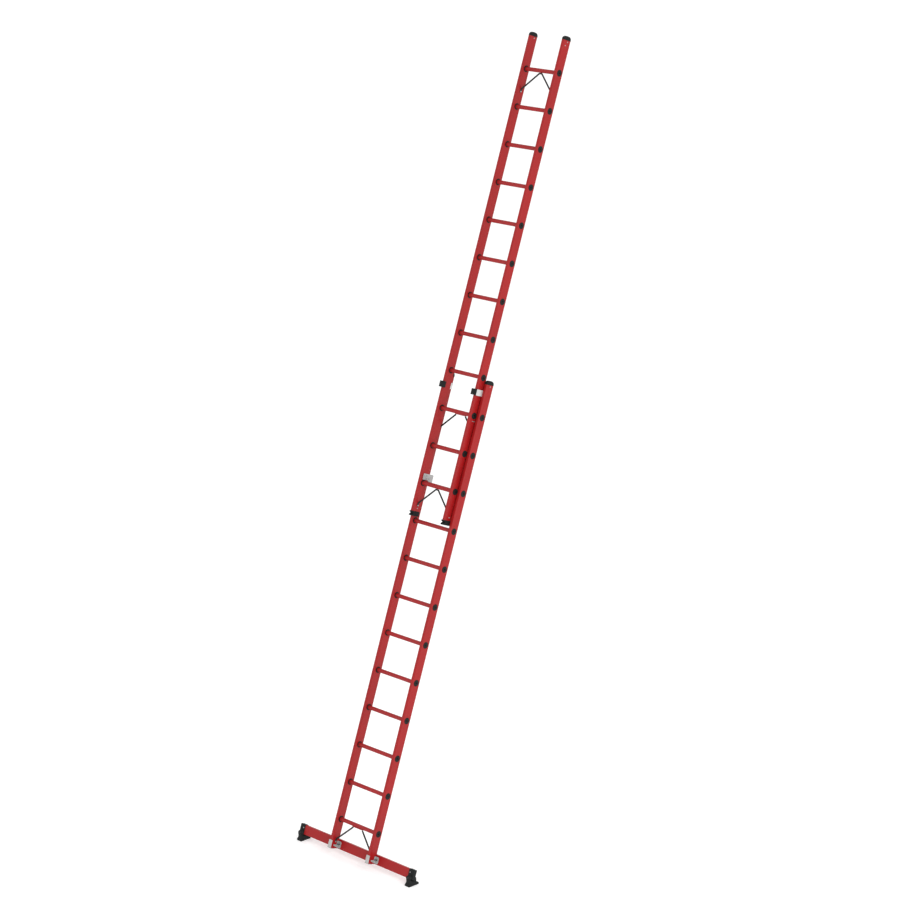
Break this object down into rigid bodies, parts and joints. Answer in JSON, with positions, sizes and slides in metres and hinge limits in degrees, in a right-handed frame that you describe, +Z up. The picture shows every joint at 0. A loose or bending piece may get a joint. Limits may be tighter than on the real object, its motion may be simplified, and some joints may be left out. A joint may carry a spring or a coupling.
{
  "type": "extension ladder",
  "caption": "Leaning push-up extension ladder: a narrow section slides in front of a wider one that stands on a crossbar with rocking rubber feet.",
  "frame": {"origin": "middle of the footprint box of the leaning ladder, on the ground", "axes": "+Z up, +X across the ladder to the climber's right, +Y away from the climber, the way the ladder leans"},
  "size_m": [1.212, 2.0992, 5.8077],
  "materials": {
    "red_grp": "pigmented pultruded glass-fibre profile, satin gloss",
    "red_rung": "pigmented ribbed glass-fibre tube, satin",
    "red_bar": "red powder coat on a rectangular tube",
    "black_plastic": "black moulded polyamide, fine spark texture",
    "black_rubber": "black tread rubber, matt",
    "black_rod": "black powder-coated steel rod",
    "zinc_sheet": "zinc-plated sheet steel, faint rolling marks",
    "zinc_fastener": "zinc-plated steel"
  },
  "bodies": {
    "lower_section": {"crossbar": "red_bar", "end_housing_left": "black_plastic", "end_housing_right": "black_plastic", "guide_block_left": "black_plastic", "guide_block_right": "black_plastic", "guide_plate_left": "zinc_sheet", "guide_plate_right": "zinc_sheet", "lower_rivets": "zinc_fastener", "lower_rung_01": "red_rung", "lower_rung_02": "red_rung", "lower_rung_03": "red_rung", "lower_rung_04": "red_rung", "lower_rung_05": "red_rung", "lower_rung_06": "red_rung", "lower_rung_07": "red_rung", "lower_rung_08": "red_rung", "lower_rung_09": "red_rung", "lower_rung_10": "red_rung", "lower_rung_11": "red_rung", "lower_rung_12": "red_rung", "lower_rung_bushes": "black_plastic", "lower_screws": "zinc_fastener", "lower_stays_bottom": "black_rod", "lower_stays_top": "black_rod", "lower_stile_left": "red_grp", "lower_stile_right": "red_grp", "lower_top_cap_left": "black_plastic", "lower_top_cap_right": "black_plastic", "stay_saddles": "red_rung", "stile_bracket_left": "zinc_sheet", "stile_bracket_right": "zinc_sheet"},
    "upper_section": {"upper_rivets": "zinc_fastener", "upper_rung_01": "red_rung", "upper_rung_02": "red_rung", "upper_rung_03": "red_rung", "upper_rung_04": "red_rung", "upper_rung_05": "red_rung", "upper_rung_06": "red_rung", "upper_rung_07": "red_rung", "upper_rung_08": "red_rung", "upper_rung_09": "red_rung", "upper_rung_10": "red_rung", "upper_rung_11": "red_rung", "upper_rung_12": "red_rung", "upper_rung_bushes": "black_plastic", "upper_screws": "zinc_fastener", "upper_shoe_left": "black_plastic", "upper_shoe_right": "black_plastic", "upper_stay_bottom": "black_rod", "upper_stay_top": "black_rod", "upper_stile_left": "red_grp", "upper_stile_right": "red_grp", "upper_top_cap_left": "black_plastic", "upper_top_cap_right": "black_plastic"},
    "hook_left": {"rung_hook_left": "zinc_sheet"},
    "hook_right": {"rung_hook_right": "zinc_sheet"},
    "foot_left": {"foot_left": "black_plastic", "foot_tread_left": "black_rubber"},
    "foot_right": {"foot_right": "black_plastic", "foot_tread_right": "black_rubber"}
  },
  "joints": [
    {"name": "upper_section_slide", "type": "slide", "parent": "lower_section", "child": "upper_section", "axis": [0, 0.342, 0.9397], "range_m": [-2.52, 0.06]},
    {"name": "hook_left_swing", "type": "hinge", "parent": "upper_section", "child": "hook_left", "pos_m": [-0.1525, -0.10734, 2.70206], "axis": [1, 0, 0], "range_deg": [0, 100]},
    {"name": "hook_right_swing", "type": "hinge", "parent": "upper_section", "child": "hook_right", "pos_m": [0.1525, -0.10734, 2.70206], "axis": [1, 0, 0], "range_deg": [0, 100]},
    {"name": "foot_left_rock", "type": "hinge", "parent": "lower_section", "child": "foot_left", "pos_m": [-0.5785, -0.96534, 0.0538], "axis": [0, 0.9397, -0.342], "range_deg": [-10, 10]},
    {"name": "foot_right_rock", "type": "hinge", "parent": "lower_section", "child": "foot_right", "pos_m": [0.5785, -0.96534, 0.0538], "axis": [0, 0.9397, -0.342], "range_deg": [-10, 10]}
  ]
}
